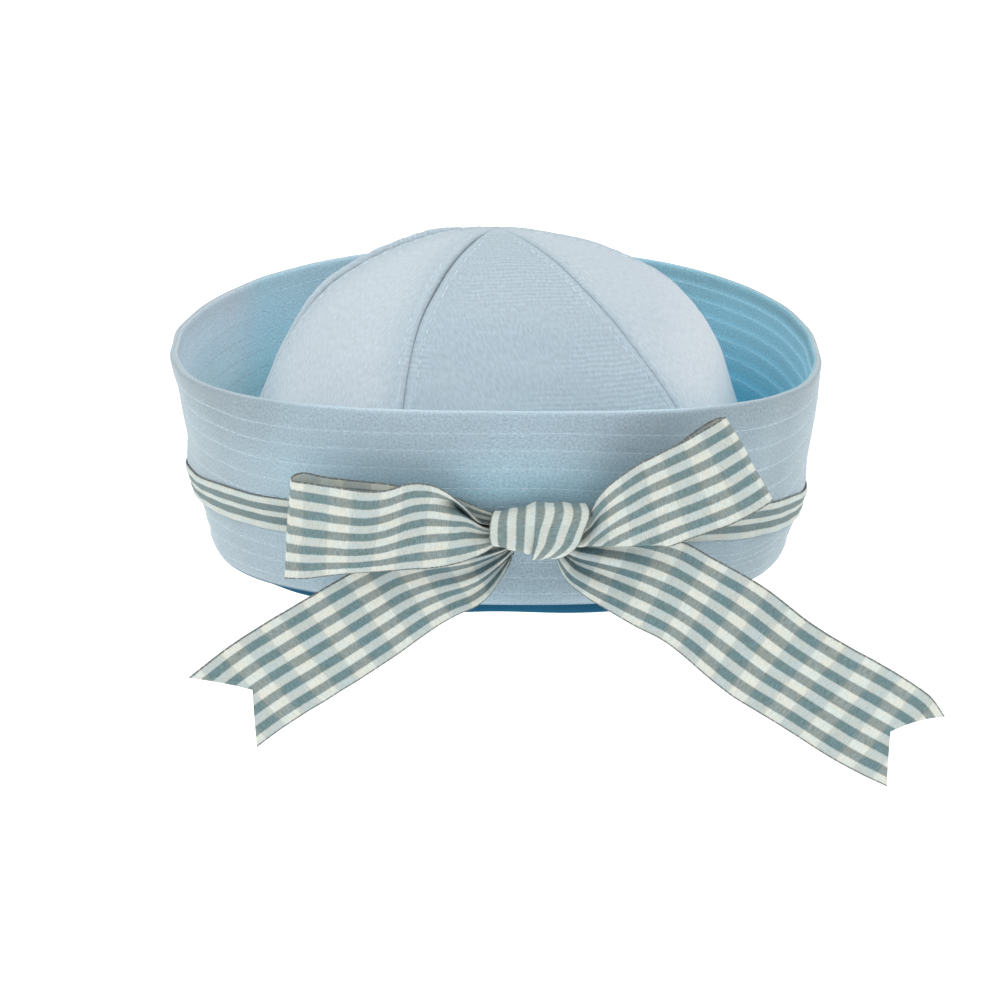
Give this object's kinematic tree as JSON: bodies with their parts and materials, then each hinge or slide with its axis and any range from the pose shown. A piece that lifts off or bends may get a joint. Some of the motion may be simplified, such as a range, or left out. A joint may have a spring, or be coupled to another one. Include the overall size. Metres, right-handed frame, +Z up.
{
  "type": "sailor cap with ribbon bow",
  "caption": "Soft cotton sailor cap with a domed crown, a tall turned-up brim, a ribbon band and a large bow with hanging tails; worn on the head.",
  "frame": {"origin": "middle of the head opening, level with the mean height of the brim's bottom fold", "axes": "+Z up through the crown, -Y to the front where the bow is, +X to the wearer's left"},
  "size_m": [0.2528, 0.2127, 0.1644],
  "materials": {
    "crown_cotton": "matte light blue cotton twill with paired white topstitching along the seams",
    "brim_cotton": "matte light blue cotton twill with rings of white topstitching",
    "sweatband_cotton": "matte deep blue woven tape",
    "gingham_ribbon": "cream and grey gingham checks, woven, faint sheen"
  },
  "bodies": {
    "root": {"crown_gore_1": "crown_cotton", "crown_gore_2": "crown_cotton", "crown_gore_3": "crown_cotton", "crown_gore_4": "crown_cotton", "crown_gore_5": "crown_cotton", "crown_gore_6": "crown_cotton", "brim": "brim_cotton", "sweatband": "sweatband_cotton", "ribbon_band": "gingham_ribbon", "bow_knot": "gingham_ribbon", "bow_loop_left": "gingham_ribbon", "bow_loop_right": "gingham_ribbon", "bow_tail_left": "gingham_ribbon", "bow_tail_right": "gingham_ribbon"}
  },
  "joints": []
}
